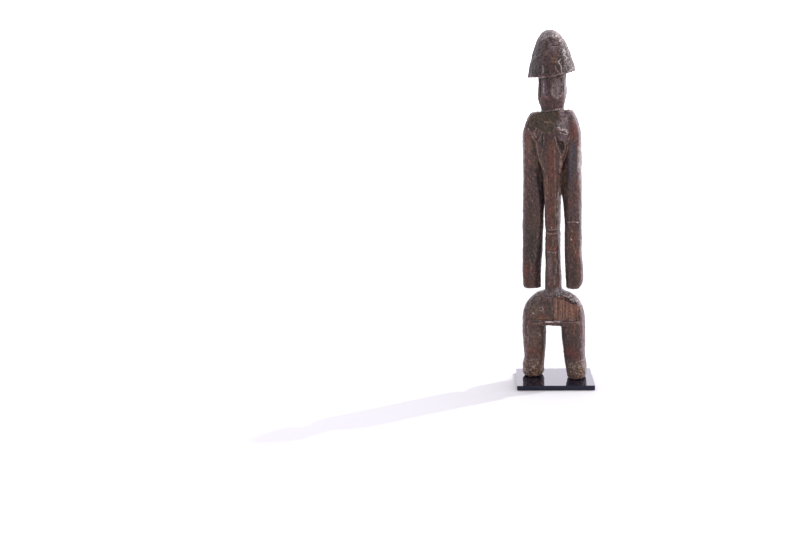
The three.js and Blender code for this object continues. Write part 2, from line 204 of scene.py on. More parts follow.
# %% [markdown]
# ## The plate
#
# The plate is a slab of black acrylic with polished edges. Real sheet never has a knife edge: a
# polisher breaks each arris by half a millimetre, and that small round is what catches the light. A
# cube with a Bevel modifier would do, and bmesh.ops.bevel gives the same shape without one.

# %% Plate
ARRIS = 0.5 * MM
ARRIS_STEPS = 3
plate_low, plate_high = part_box("display_plate")
plate_form = bmesh.new()
bmesh.ops.create_cube(plate_form, size=1)
bmesh.ops.scale(plate_form, vec=plate_high - plate_low, verts=plate_form.verts)
bmesh.ops.translate(plate_form, vec=(plate_high + plate_low) / 2, verts=plate_form.verts)
bmesh.ops.bevel(
    plate_form,
    geom=plate_form.edges,
    offset=ARRIS,
    segments=ARRIS_STEPS,
    profile=0.5,
    affect="EDGES",
    material=-1,
)
plate_mesh = bpy.data.meshes.new("plate")
plate_form.to_mesh(plate_mesh)
plate_form.free()
plate = add_object("plate", plate_mesh)
print("plate faces:", len(plate_mesh.polygons))

# %% [markdown]
# ## The figure's skin
#
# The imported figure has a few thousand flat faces. To carve finer relief the skin needs many small,
# even ones. Subdividing would keep its long thin triangles, so the copy is welded and remeshed on a
# grid of voxels, which gives small squares everywhere. The figure is turned on its plate, so the copy
# is first brought back to its own upright frame: x across, y back and z up from the soles. The same
# turn puts it back at the end.

# %% Copy, weld and remesh
FIGURE_TURN = math.radians(-12)
FIGURE_BACK = 9 * MM
WELD = 0.005 * MM
VOXEL = 0.8 * MM

figure_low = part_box("figure")[0]
stand = Matrix.Translation((0, FIGURE_BACK, figure_low.z)) @ Matrix.Rotation(FIGURE_TURN, 4, "Z")


def shape(mesh, work):
    """Runs one piece of bmesh work on a mesh."""
    form = bmesh.new()
    form.from_mesh(mesh)
    work(form)
    form.to_mesh(mesh)
    form.free()


def apply_modifiers(piece):
    """Replaces a piece's mesh by what its modifiers make of it."""
    seen = piece.evaluated_get(bpy.context.evaluated_depsgraph_get())
    finished = bpy.data.meshes.new_from_object(seen)
    piece.modifiers.clear()
    piece.data = finished


figure = add_object("carved_figure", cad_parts["figure"].data.copy())
figure.data.materials.clear()
figure.data.transform(stand.inverted())
shape(figure.data, lambda form: bmesh.ops.remove_doubles(form, verts=form.verts, dist=WELD))
remesh = figure.modifiers.new("even_skin", "REMESH")
remesh.mode = "VOXEL"
remesh.voxel_size = VOXEL
apply_modifiers(figure)
print("skin:", len(figure.data.vertices), "points,", len(figure.data.polygons), "squares")

# %% [markdown]
# ## Softening
#
# Handling has rounded the wood. A plain smooth would melt the rims and ledges too, so the points on
# flat stretches are smoothed many times and the points on sharp edges only twice.

# %% Soften
SHARP = math.radians(24)
FLAT_PASSES = 8
EDGE_PASSES = 2
HALF_WAY = 0.5


def smooth(form, points, strength):
    bmesh.ops.smooth_vert(
        form, verts=points, factor=strength, use_axis_x=True, use_axis_y=True, use_axis_z=True
    )


def soften(form):
    flat = [v for v in form.verts if max(e.calc_face_angle(0) for e in v.link_edges) < SHARP]
    for _ in range(FLAT_PASSES):
        smooth(form, flat, HALF_WAY)
    for _ in range(EDGE_PASSES):
        smooth(form, form.verts, HALF_WAY)
    print("flat points:", len(flat), "of", len(form.verts))


shape(figure.data, soften)

# %% [markdown]
# ## Measuring the skin
#
# Relief is carved by moving each point along its normal, and colour is laid on point by point, so both
# start from the same measures. numpy holds all the points at once, in millimetres. The noise of
# mathutils gives the same random-looking field on each run, and stretching it upwards makes it follow
# the grain, which runs from the feet to the cap. Single marks are drawn as lines on one side of the
# figure, across and up, and larger places are egg-shaped regions with ragged edges. A pair of numbers
# such as FACING says where a measure sets in and where it is full.

# %% Skin measures
FACING = (0.1, 0.5)
FRONT_ENDS = 2
RAGGED_BLOTCH = (5, 5, 8)
FADED_BLOTCH = (2.5, 2.5, 3)
FADED = (-0.6, 0.15)
OCTAVE_FALL = 1.0
OCTAVE_STEP = 2.0
LINE_CORE = 0.2
LINE_WANDERS = 0.45


def ease(low, high, value):
    """Climbs smoothly from 0 at low to 1 at high. A low above high makes it fall instead."""
    share = np.clip((value - low) / (high - low), 0, 1)
    return share * share * (3 - 2 * share)


def between(starts, full, fades, ends, value):
    """Climbs from 0 to 1 as the value goes from starts to full, and falls again from fades to ends."""
    return ease(starts, full, value) * ease(ends, fades, value)


def read(mesh, what):
    """Reads a vector of every vertex."""
    flat = np.empty(len(mesh.vertices) * 3, np.float32)
    mesh.vertices.foreach_get(what, flat)
    return flat.reshape(-1, 3).astype(float)


class Skin:
    """A mesh's points in millimetres with their normals, and the patterns that are drawn on them."""

    def __init__(self, mesh):
        self.points = read(mesh, "co") / MM
        self.normals = read(mesh, "normal")
        self.across, self.deep, self.height = self.points.T
        right, back, up = self.normals.T
        turned = {"front": -back, "back": back, "right": right, "left": -right, "top": up}
        self.facing = {side: ease(*FACING, turn) for side, turn in turned.items()}
        self.facing["front"] = self.facing["front"] * (self.deep < FRONT_ENDS)
        self.ragged = self.cloud(RAGGED_BLOTCH, 51.1)
        self.faded = ease(*FADED, self.cloud(FADED_BLOTCH, 66.1))

    def cloud(self, size, seed, octaves=3):
        """Soft noise, about -1 to 1. size is the width, depth and height of one blotch."""
        spots = self.points / size + seed
        return np.array([noise.fractal(Vector(spot), OCTAVE_FALL, OCTAVE_STEP, octaves) for spot in spots])

    def cuts(self, size, seed, lean=0):
        """Scattered scoops: 0 in the middle of a cut and about 1 on the ridge between two. A lean in
        degrees carries the foot of each cut to the viewer's right."""
        turn = np.array(Matrix.Rotation(math.radians(lean), 3, "Y"))
        spots = self.points @ turn.T / size + seed
        return np.array([min(1.0, noise.voronoi(Vector(spot))[0][0]) ** 2 for spot in spots])

    def net(self, size, seed, width):
        """A net of lines between scattered cells: 1 on a line and 0 away from it."""
        nearest = [noise.voronoi(Vector(spot))[0][:2] for spot in self.points / size + seed]
        return ease(width, 0, np.array([far - near for near, far in nearest]))

    def line(self, route, half, side="front"):
        """How near each point of one side is to a route: 1 on it and 0 from half a width away."""
        level = 0 if side in ("front", "back") else 1
        spots = self.points[:, [level, 2]]
        gap = np.full(len(spots), np.inf)
        for start, end in zip(route, route[1:]):
            a, b = np.array(start, float), np.array(end, float)
            share = np.clip((spots - a) @ (b - a) / ((b - a) @ (b - a)), 0, 1)
            gap = np.minimum(gap, np.linalg.norm(spots - a - share[:, None] * (b - a), axis=1))
        gap = gap + LINE_WANDERS * half * self.ragged
        return ease(half, LINE_CORE * half, gap) * self.faded * self.facing[side]

    def region(self, centre, reach, soft=0.3, ragged_by=0.35):
        """1 inside an egg-shaped region and 0 outside, with a ragged soft edge."""
        away = np.linalg.norm((self.points - centre) / reach, axis=1)
        return ease(1 + soft, 1 - soft, away + ragged_by * self.ragged)


skin = Skin(figure.data)
print("lowest and highest point:", skin.height.min().round(1), skin.height.max().round(1))

# %% [markdown]
# ## Tool marks
#
# An adze and a knife leave overlapping shallow scoops, longer along the grain than across it. The
# cap's scoops are broad, the limbs' are narrow, and the hips' are short. Scattered cells give that
# pattern: the surface dips to the middle of each cell and stands up where two cells meet. Weather has
# opened the softer wood between the fibres, which adds fine ribs and pits.

# %% Tool marks
CAP_FOOT = 429
HIP_TOP = 128
LEDGE = 85.5
CAP_STARTS = (CAP_FOOT - 1, CAP_FOOT + 3)
HIPS = (LEDGE - 4, LEDGE + 3, HIP_TOP - 6, HIP_TOP + 3)

# Each set of cuts: its depth, how wide, deep and tall one cut is, the seed and the lean.
CAP_CUTS = [(0.9, (8, 8, 13), 3.1, 0), (0.45, (3.2, 3.2, 4.4), 13.4, 0)]
LIMB_CUTS = [(0.8, (6, 6, 18), 7.7, 0), (0.5, (2.2, 5, 8), 17.2, 35)]
HIP_CUTS = [(0.8, (6, 6, 8), 1.3, 0), (0.4, (2.8, 2.8, 3.6), 27.9, 0)]
SWELL_DEPTH = 0.4
SWELL = (16, 16, 30)
RIB_DEPTH = 0.22
RIB = (1.5, 1.5, 20)
PIT_DEPTH = 0.5
PIT = (2.4, 2.4, 4.2)
PIT_NOISE = (0.2, 0.7)

on_cap = ease(*CAP_STARTS, skin.height)
on_hips = between(*HIPS, skin.height)
on_limbs = 1 - np.maximum(on_cap, on_hips)
relief = np.zeros(len(skin.points))
for place, cuts in ((on_cap, CAP_CUTS), (on_limbs, LIMB_CUTS), (on_hips, HIP_CUTS)):
    for depth, size, seed, lean in cuts:
        relief += place * depth * skin.cuts(size, seed, lean)
relief += SWELL_DEPTH * skin.cloud(SWELL, 5.5)
relief += RIB_DEPTH * skin.cloud(RIB, 71.3)
relief -= PIT_DEPTH * ease(*PIT_NOISE, skin.cloud(PIT, 35.8))
relief -= relief.mean()
print("tool marks between", relief.min().round(2), "and", relief.max().round(2), "mm")

# %% [markdown]
# ## Single marks
#
# A scratch, a check in the wood, the edge of a paring cut or the lip of a hollow is one line. Some
# lines are painted shade in grooves, gaps and under overhangs, and some are painted highlights on lit
# edges and glints. Each entry says how wide half the line is, how far it stands out or, with a minus,
# is cut in, which colour it takes and how strongly, and the routes it follows on the figure, across
# and up. An entry that isn't on the front ends with its side.

# %% Marks
Mark = namedtuple("Mark", "half push colour share routes side", defaults=["front"])
ENTRIES = [
    # Cap
    (1.6, 0.5, "ash", 0.5, [[(-8.4, 436), (-7.4, 441), (-8, 447)]]),
    (1.2, 0.5, "ash", 0.5, [[(14.5, 436), (10.5, 441), (8.6, 446)]]),
    (1.4, -0.4, "bone", 0.98, [[(5.2, 484.4), (9.4, 488.6)]]),
    (0.95, -0.6, "soot", 0.98, [[(2.5, 474.4), (7, 473.7), (12, 474.3)]]),
    (0.85, 0.2, "ash", 0.62, [[(3, 472.4), (11.4, 472.6)]]),
    (0.85, -0.3, "ochre", 0.91, [[(0.4, 452.9), (6, 452.3), (12.4, 452.4)]]),
    (0.95, -0.2, "ochre", 0.73, [[(4.2, 456.4), (6.4, 458), (10, 456.6)], [(5.4, 461), (8.8, 461.4)]]),
    # Raised chisel marks on the cap's right side, painted pale as glints where they catch the light.
    (1.05, 0.2, "bone", 0.7, [[(17, 469.7), (20.8, 464.6), (18.6, 461.6), (23.8, 456.9), (21, 453.4)]]),
    (0.95, 0.2, "bone", 0.6, [[(15.8, 455.6), (12.3, 451.7), (16.4, 446.1), (17.1, 438)]]),
    (0.85, 0.2, "bone", 0.6, [[(15.3, 483.9), (12.5, 479.9), (17.3, 478.4), (15.9, 474.4)]]),
    (0.85, 0.2, "ash", 0.6, [[(26, 452), (23.6, 447.6), (28, 445)], [(20, 448), (24, 441)]]),
    (1, 0.3, "ash", 0.78, [[(-28.5, 432.6), (-14.1, 430.6), (-4.4, 432.2)]]),
    (1.05, 0.3, "rust", 0.7, [[(-14, 434.2), (-4, 434.6), (3, 436.4)]]),
    (1, 0.4, "ash", 0.85, [[(10, 434.8), (18.2, 436.4), (33, 440)]]),
    # Painted shadow under the front of the cap's rim.
    (1.6, 0, "soot", 0.6, [[(-4, 433), (3, 434), (9, 435)]]),
    # Painted shade low on the cap's left side, away from the light.
    (4, 0, "soot", 0.45, [[(-32, 437), (-24, 438), (-14, 437)]]),
    # Face
    # Pale rims of the two scoops in the face, painted as highlights where their lips catch the light.
    (1.7, 0.6, "ash", 0.8, [[(1.8, 413), (4.5, 406), (10, 402.6), (14.9, 404.8), (16.8, 411)]]),
    (2.6, 0.3, "ash", 0.7, [[(3.6, 408), (7, 405), (10.6, 404.2), (14.4, 406.4)]]),
    (1.05, 0.3, "ash", 0.52, [[(14.6, 410), (13.4, 424)]]),
    (1, 0.4, "ash", 0.52, [[(-9.2, 426), (-9, 413), (-5.6, 404.2), (-2.4, 404.6)]]),
    # Painted shade on the nose's left flank, away from the light.
    (1.7, -0.4, "soot", 0.8, [[(-0.8, 428.9), (-0.2, 416), (0.5, 406)]]),
    # Painted shade in the two temple grooves.
    (2.2, -0.5, "soot", 0.98, [[(-13, 428), (-13.2, 411)]]),
    (2.4, -0.5, "soot", 0.98, [[(16.4, 428.5), (16.8, 411)]]),
    (2.6, 0, "bark", 0.5, [[(1.6, 424), (1.8, 409)]]),
    (2.6, 0, "ash", 0.4, [[(12, 423), (10.6, 408)]]),
    (1, -0.4, "soot", 0.59, [[(-8, 399), (1, 397.5)], [(4, 394), (11, 395)], [(-6, 391), (0, 390)]]),
    # Collar and chest
    (1.1, 0.5, "ash", 0.35, [[(-8, 384.2), (3, 385.7)]]),
    (1.3, 0.7, "bone", 0.75, [[(3, 385.7), (12, 387), (20.8, 388.2)]]),
    (3, 0, "soot", 0.5, [[(-15, 386), (-6, 388)]]),
    (1.2, 0.2, "ash", 0.78, [[(-37, 362), (-35.5, 370), (-32.3, 375), (-26.7, 380.5), (-20, 381.8)]]),
    (1.1, 0.2, "lilac", 0.78, [[(24, 385), (30, 384), (34, 374), (37, 362)]]),
    (1, 0.3, "straw", 0.6, [[(13, 381), (19, 378)], [(14, 374), (23, 375)], [(18, 369), (27, 372)]]),
    (1, -0.3, "bark", 0.6, [[(14, 378), (21, 376)], [(13, 371), (21, 371.5)], [(20, 382), (26, 379)]]),
    (2, -0.5, "soot", 0.9, [[(8, 346), (11, 338), (16, 327)]]),
    (1, -1, "soot", 0.9, [[(-15, 383.4), (-6, 382.8), (3, 384.2), (14, 386)]]),
    (1.6, 0.2, "straw", 0.5, [[(-8, 370), (0, 369), (6, 367)]]),
    (1.2, 0.5, "bone", 0.77, [[(10.4, 362.3), (16, 359.5), (24.6, 358)]]),
    (1.2, 0.5, "bone", 0.72, [[(13.4, 358.6), (19, 357.4), (24.3, 354.6)]]),
    (0.95, 0.4, "bone", 0.61, [[(12, 354.6), (18, 353), (23.5, 352)]]),
    (1.2, -0.6, "soot", 0.94, [[(-30.6, 373), (-30.4, 363.6), (-26, 359.4), (-23, 360.4)]]),
    (1.05, 0.5, "ash", 0.73, [[(-31.9, 362), (-29.2, 357.4), (-26.6, 352)]]),
    (1.05, 0.5, "straw", 0.73, [[(-19.4, 361.6), (-22.5, 356.4), (-26, 350.4), (-20.4, 339.8)]]),
    (0.95, 0.4, "straw", 0.68, [[(-17, 358.4), (-12, 355), (-14.9, 348), (-20.4, 339.8)]]),
    (1.05, -0.6, "soot", 0.7, [[(-23.6, 349), (-21, 344), (-18, 350)], [(-28, 346), (-25, 338)]]),
    (1.1, 0.5, "straw", 0.78, [[(-20.4, 339.8), (-19.4, 330), (-18.2, 320), (-14.6, 311), (-10, 302)]]),
    # Painted shade in the gaps between the arms and the torso.
    (3.4, 0, "ink", 0.8, [[(-20.5, 292), (-16.5, 272), (-13.5, 254)]]),
    (3.2, 0, "ink", 0.75, [[(21, 316), (23.4, 306), (24, 292), (22.6, 276)]]),
    (0.95, -0.5, "soot", 0.88, [[(-11.4, 353), (-12.2, 341), (-11.2, 332)]]),
    (0.95, 0.4, "straw", 0.53, [[(-9.6, 350), (-10.8, 336), (-13.6, 324)]]),
    (1.1, 0.6, "straw", 0.73, [[(4.6, 353), (7, 346), (8.2, 338), (12.2, 328), (14.6, 318)]]),
    (1.2, 0.8, "straw", 0.98, [
        [(26.4, 350), (23.6, 341), (22, 331), (18.6, 319), (14.2, 311), (12.4, 298)],
    ]),
    (1.8, 0.5, "straw", 0.8, [[(15.6, 316), (12.6, 309), (11.8, 298)]]),
    (1.05, 0.4, "straw", 0.68, [[(12.4, 298), (11.8, 282), (11, 268)]]),
    (2.6, 0, "straw", 0.3, [[(-21.5, 323), (-20, 306)], [(-15.5, 312), (-14, 286)]]),
    (2.2, 0, "straw", 0.35, [[(13.5, 320), (13, 300), (14, 284)]]),
    (2, 0, "ash", 0.35, [[(-23, 357), (-21, 349)], [(15, 345), (18, 342)]]),
    (1, 0.6, "ash", 0.73, [[(-4, 370), (-6, 356), (-5, 346), (-8, 338)]], "right"),
    # Column
    (1, 0.5, "straw", 0.45, [[(5.4, 336), (5.6, 300), (5.8, 260), (5.4, 219)]]),
    (0.85, 0.4, "straw", 0.49, [[(-9.2, 300), (-8.6, 280), (-8.2, 246)], [(-5.8, 298), (-5.4, 262)]]),
    (0.85, 0.3, "russet", 0.7, [[(-2.6, 340), (-2.2, 290), (-2, 240)]]),
    (0.85, 0.5, "bone", 0.88, [[(-8.9, 302.6), (-8.7, 299.8)], [(-1.4, 222), (-0.4, 220)]]),
    (0.95, 0.4, "ash", 0.73, [[(-4.5, 216.9), (8, 217.2)]]),
    (0.95, -0.5, "soot", 0.82, [[(-8, 214.6), (8, 214.8)]]),
    (0.95, 0.5, "ash", 0.73, [[(-7.6, 211.6), (0, 211), (7.4, 211.6)]]),
    (1.3, -0.5, "soot", 0.82, [
        [(1.8, 200), (-0.7, 194.4), (-6, 189)], [(2.4, 200), (4.1, 193.6), (7.6, 190)],
    ]),
    (0.95, 0.4, "ash", 0.68, [[(-6, 184.8), (1, 184), (8, 185.2)], [(1.6, 203), (1.8, 194)]]),
    (1, -0.4, "rust", 0.9, [[(-6, 188), (1, 187.2), (8, 188.4)]]),
    (0.95, 0.4, "ash", 0.62, [[(5, 184), (7, 169), (5.4, 154)], [(2.6, 150), (3.4, 138)]]),
    # Arms
    (1, 0.3, "rust", 0.6, [[(-38.4, 227.4), (-28, 228.6), (-18, 227.6)]]),
    (0.95, 0.5, "ash", 0.5, [[(22, 228), (32, 229), (40, 227.6)]]),
    (1, 0.4, "bone", 0.98, [[(36, 227.9), (37.6, 227.8)], [(27.4, 204.6), (28, 203)]]),
    (0.95, -0.5, "soot", 0.7, [
        [(-36, 300), (-27, 286)], [(-37, 284), (-27, 268)], [(-36, 262), (-25, 246)],
    ]),
    (1.2, 0.4, "straw", 0.3, [
        [(-35, 294), (-27, 280)], [(-36, 274), (-26, 257)], [(-35, 252), (-24, 238)],
    ]),
    (1.2, 0.4, "straw", 0.3, [[(26, 222), (30, 214), (27, 206)], [(30, 196), (34, 186), (30, 176)]]),
    (0.85, -0.4, "soot", 0.7, [[(24, 216), (26, 204), (24, 190)], [(34, 170), (30, 158), (33, 146)]]),
    (1.2, 0.3, "straw", 0.25, [[(-33, 176), (-29, 166), (-31, 154)], [(-27, 188), (-23, 178)]]),
    # Hips
    # Painted shade in the step between the crumbly half and the split.
    (1, -0.9, "soot", 0.98, [[(1.9, 119), (2.2, 102), (2.1, 86)]]),
    (2, 0, "straw", 0.35, [[(4.6, 119), (4.6, 87)]]),
    (0.95, 0.5, "straw", 0.83, [[(6.4, 117), (6.3, 88)]]),
    (0.85, 0.4, "straw", 0.59, [
        [(13.6, 118), (13.5, 88)], [(17.2, 118), (17.1, 88)], [(20.8, 117), (20.7, 88)],
    ]),
    (0.85, -0.4, "umber", 0.82, [
        [(8.6, 119), (8.4, 88)], [(15.4, 118), (15.3, 88)], [(19, 117), (18.9, 88)],
    ]),
    (0.85, -0.3, "umber", 0.7, [[(27.7, 89), (25.6, 95), (29, 100), (33, 96), (34.6, 89)]]),
    # Painted shadow under the overhanging top of the split and along its recessed edges.
    (1.4, -0.9, "soot", 0.98, [[(3, 121.4), (15, 121.6), (22, 118.6), (26, 115.8)]]),
    (2.2, 0, "soot", 0.85, [[(12, 118), (19, 117), (26, 112.6), (31, 110)]]),
    (1.5, 0, "soot", 0.7, [[(3, 119), (12, 119)]]),
    (3, -1.2, "soot", 0.95, [[(20, 118.4), (29, 113.6), (34, 111)]]),
    (1.1, -0.8, "soot", 0.98, [[(33, 112), (40, 106.8)]]),
    (0.95, -0.6, "soot", 0.98, [[(39.2, 105.5), (39.2, 87.5)]]),
    # Painted glints: white dots on the crust and on the hips.
    (1, 0.6, "bone", 0.9, [[(33, 115), (35, 113.8)], [(38.4, 110.4), (40, 108.6)]]),
    (1.05, 0.6, "bone", 0.88, [
        [(25, 121.6), (27, 120.4)], [(19, 125), (21, 124.2)], [(-26.8, 96.6), (-25.4, 95.8)],
    ]),
    (0.95, 0.6, "ash", 0.83, [[(-17, 105), (-13, 106), (-11.8, 102), (-14, 99.6), (-17, 101)]]),
    (1, -0.8, "soot", 0.82, [[(-15.4, 103.4), (-13.8, 102.4)], [(-31, 116), (-27, 110), (-31, 104)]]),
    (1, -0.7, "soot", 0.7, [[(-33, 106), (-28, 101)], [(-22, 120), (-12, 121.6), (0, 120.6)]]),
    (1, 0.5, "ochre", 0.77, [[(-21, 87.6), (-15.7, 89.6), (-8.5, 90), (-1, 88.4)]]),
    # Painted shadow under the ledge above the legs.
    (1, -0.8, "soot", 0.98, [[(-28, 83.6), (-18, 84.2), (-8, 85.4)]]),
    (1.05, 0.4, "straw", 0.68, [[(-25, 81), (-17, 81.4)]]),
    # Painted highlights along the top of the ledge, where it catches the light.
    (1, 0.5, "bone", 0.83, [[(-8, 84.6), (-1, 85), (2.4, 84.4)], [(3.4, 85.6), (12.4, 85.6)]]),
    (1.5, 0.4, "ash", 0.7, [[(12, 86.4), (24, 86.6), (38, 86.8)]]),
    (1.05, 0.4, "straw", 0.78, [[(17, 85), (24, 85.4), (38, 85.6)], [(37, 88), (38.6, 86)]]),
    # Legs
    (1, 0.5, "bone", 0.88, [[(-18, 65.4), (-17.5, 63.4)]]),
    (0.95, 0.4, "ash", 0.52, [[(-39.5, 76), (-40, 50), (-38, 32)], [(-34.5, 78), (-34.5, 48)]]),
    (1.05, 0.5, "straw", 0.73, [[(-34, 24), (-26.5, 26.6), (-20, 25.8)]]),
    (1.05, 0.5, "ash", 0.8, [[(35, 25), (41, 26.6), (46, 28)]]),
    (0.85, 0.5, "ochre", 0.82, [
        [(36.5, 18), (44, 15)], [(37.4, 14), (44.6, 11)], [(37, 9.6), (43.6, 7)], [(38, 5), (41, 3)],
    ]),
    (0.85, -0.5, "soot", 0.94, [[(36.8, 16), (44, 13)], [(37.2, 11.8), (44.2, 9)], [(42, 19), (45.6, 8)]]),
    # Checks in the sides and the back
    (0.95, -0.9, "soot", 0.94, [
        [(-8, 372), (-6, 340), (-7, 306)], [(9, 290), (8, 262)], [(28, 330), (27, 288)],
        [(-30, 260), (-29, 214)], [(14, 118), (15, 92)], [(-28, 70), (-27, 44)],
    ], "back"),
    (1.05, -1, "soot", 0.94, [
        [(4, 488), (2, 466), (3, 444)], [(-18, 462), (-20, 440)], [(3, 424), (2, 398)],
    ], "back"),
    (0.95, -0.8, "soot", 0.82, [
        [(4, 340), (3, 300), (4, 270)], [(-2, 110), (0, 78), (-1, 60)], [(2, 470), (0, 448)],
    ], "right"),
    (0.95, -0.8, "soot", 0.82, [
        [(2, 350), (3, 312)], [(5, 240), (4, 190)], [(1, 100), (0, 66)], [(-2, 466), (1, 446)],
    ], "left"),
]
MARKS = [Mark(*entry) for entry in ENTRIES]


def drawn(mark):
    return np.max([skin.line(route, mark.half, mark.side) for route in mark.routes], axis=0)


for mark in MARKS:
    relief += mark.push * drawn(mark)
print(len(MARKS), "kinds of mark, relief now", relief.min().round(2), "to", relief.max().round(2), "mm")

# %% [markdown]
# ## Rough places
#
# The left half of the hips is crumbly, and a crust hangs over the split on the right half. The split
# itself broke along the grain, so its face is finely ribbed upwards. The cap's right side is crazed by
# a net of raised lines, and an old crust with a scalloped edge lies over the chest.

# %% Rough places
SPLIT_LEFT = 3
SPLIT_RIGHT = 39
SPLIT_TOP_ACROSS = [3, 19, 29, 39]
SPLIT_TOP_HEIGHT = [121, 121, 113.5, 106]
CHEST_EDGE_ACROSS = [-31, -30, -25.6, -22.5, -17, -11.5, -2.2, 4.1, 9, 12]
CHEST_EDGE_HEIGHT = [374, 363.2, 358.5, 360, 360, 356, 353.5, 356.6, 364, 374]

# Each region: its middle across, deep and up, and how far it reaches.
CRUMBLY = ((-20, -19, 104), (21, 12, 19))
CRUMBLY_RIGHT = (3, 0)
CRUST = ((26, -10, 120), (22, 16, 11))
CRUST_FOOT = (102, 108)
CRAZED = ((25, -12, 458), (13, 18, 29))
CHEST_TOP = (386, 381)
CHEST_LEFT = (-31.5, -30)
CHEST_RIGHT = (12, 5)

# Each pattern: how wide, deep and tall one blotch or cell is, the seed, and perhaps the octaves.
CRUMBS = ((2.2, 2.2, 2.6), 21.3, 4)
CRUMB_NOISE = (0, 0.6)
CRUMB_DEPTH = 0.5
LUMPS = ((2, 2, 1.8), 33.3, 3)
LUMP_HEIGHT = 1.1
SPLIT_RIBS = ((1.4, 40, 70), 2.2)
SPLIT_RIB_HEIGHT = 0.6
CRAZE = ((3, 6.4, 3.6), 4.4)
CRAZE_HEIGHT = 0.4
CHEST_LUMPS = ((3, 3, 3.4), 8.8)
CHEST_CRUST = 0.5
CHEST_LUMP_HEIGHT = 0.5


def places():
    """The rough places as they lie on the present skin."""
    across, height = skin.across, skin.height
    split_top = np.interp(across, SPLIT_TOP_ACROSS, SPLIT_TOP_HEIGHT)
    split = between(SPLIT_LEFT - 0.4, SPLIT_LEFT + 0.8, SPLIT_RIGHT - 0.6, SPLIT_RIGHT + 0.6, across)
    split = split * ease(LEDGE - 0.3, LEDGE + 1, height) * ease(0.6, -0.8, height - split_top)
    split = split * skin.facing["front"]
    crumbly = skin.region(*CRUMBLY) * ease(*CRUMBLY_RIGHT, across) * ease(LEDGE, LEDGE + 3, height)
    crust = skin.region(*CRUST) * (1 - split) * ease(*CRUST_FOOT, height)
    crazed = skin.region(*CRAZED) * ease(CAP_FOOT, CAP_FOOT + 4, height)
    edge = np.interp(across, CHEST_EDGE_ACROSS, CHEST_EDGE_HEIGHT)
    chest = ease(-0.8, 0.8, height - edge + 0.8 * skin.ragged) * ease(*CHEST_TOP, height)
    chest = chest * ease(*CHEST_RIGHT, across + 2 * skin.ragged) * ease(*CHEST_LEFT, across)
    chest = chest * skin.facing["front"]
    return split, crumbly, crust, crazed, chest


split, crumbly, crust, crazed, chest = places()
relief -= CRUMB_DEPTH * crumbly * ease(*CRUMB_NOISE, skin.cloud(*CRUMBS))
relief += LUMP_HEIGHT * crust * skin.cloud(*LUMPS)
relief += SPLIT_RIB_HEIGHT * split * skin.cloud(*SPLIT_RIBS)
relief += CRAZE_HEIGHT * crazed * (skin.net(*CRAZE, 0.26) - 0.5)
relief += chest * (CHEST_CRUST + CHEST_LUMP_HEIGHT * skin.cloud(*CHEST_LUMPS))
print("points in the split:", int((split > 0.5).sum()), "in the crumbly half:", int((crumbly > 0.5).sum()))

# %% [markdown]
# ## Chipped edges
#
# Rims and corners lose small chips. An edge is found by comparing each point with the average of its
# neighbourhood: a point that stands proud of it is on a ridge, and one that lies below is in a
# hollow. The same measure later gives worn edges, and dirt with painted shade in the hollows.

# %% Ridges and hollows


def proud(mesh, passes):
    """How far each point stands out of its smoothed surroundings, in millimetres."""
    ends = np.empty(len(mesh.edges) * 2, np.int32)
    mesh.edges.foreach_get("vertices", ends)
    a, b = ends.reshape(-1, 2).T
    count = len(mesh.vertices)
    degree = np.bincount(a, minlength=count) + np.bincount(b, minlength=count)
    here = read(mesh, "co") / MM
    even = here.copy()
    for _ in range(passes):
        sums = [np.bincount(a, even[b, i], count) + np.bincount(b, even[a, i], count) for i in range(3)]
        even = (even + np.stack(sums, axis=1) / degree[:, None]) / 2
    return ((here - even) * read(mesh, "normal")).sum(axis=1)


RIM_PASSES = 50
RIM = (0.35, 1.1)
CHIP_DEPTH = 1.5
CHIP = (4, 4, 5)
CHIP_NOISE = (0.15, 0.7)
rim = proud(figure.data, RIM_PASSES)
chips = ease(*RIM, rim) * ease(*CHIP_NOISE, skin.cloud(CHIP, 41.7))
relief -= CHIP_DEPTH * chips
print("chipped points:", int((chips > 0.5).sum()))

# %% [markdown]
# ## Carve and thin out
#
# Now the whole relief is applied at once, along the normals, and one light smoothing takes off the
# grid's last trace. The grid is finer than the finished piece may be, because narrow gaps and thin
# lines need it. A Decimate modifier then takes points away where the skin is nearly flat, which costs
# far less shape than a coarser grid would. The vertex group makes it spare the front. Nothing may sink
# into the plate, so no point goes below the soles.

# %% Carve and thin out
MOST_TRIANGLES = 194_000
FRONT_FROM = 0.3
FRONT_WEIGHT = 0.9
FRONT_FIRST = 1e-4
GRID_TRACE = 0.2

moved = (skin.points + skin.normals * relief[:, None]) * MM
moved[:, 2] = np.maximum(moved[:, 2], 0)
figure.data.vertices.foreach_set("co", moved.astype(np.float32).ravel())
figure.data.update()
shape(figure.data, lambda form: smooth(form, form.verts, GRID_TRACE))
kept = figure.vertex_groups.new(name="kept")
kept.add(np.flatnonzero(skin.facing["front"] > FRONT_FROM).tolist(), FRONT_WEIGHT, "REPLACE")
thin = figure.modifiers.new("thin_out", "DECIMATE")
thin.vertex_group = kept.name
thin.invert_vertex_group = True
thin.vertex_group_factor = FRONT_FIRST
thin.ratio = min(1, MOST_TRIANGLES / (2 * len(figure.data.polygons)))
thin.use_collapse_triangulate = True
apply_modifiers(figure)
skin = Skin(figure.data)
print("finished skin:", len(figure.data.polygons), "triangles,", len(skin.points), "points")

# %% [markdown]
# ## Laying on the colours
#
# Old carved wood is never one colour. Painting an image would need a flat map of the figure. Instead
# each point holds its own colour, and the colours are laid over each other as a restorer would: first
# the wood's own streaks, then the broad stains, then dirt and painted shade in the hollows and wear on
# the ridges, and the single marks last. Some stains and marks are painted shade, and some are painted
# highlights. Every layer is one call that says where it lies and how strong it is.

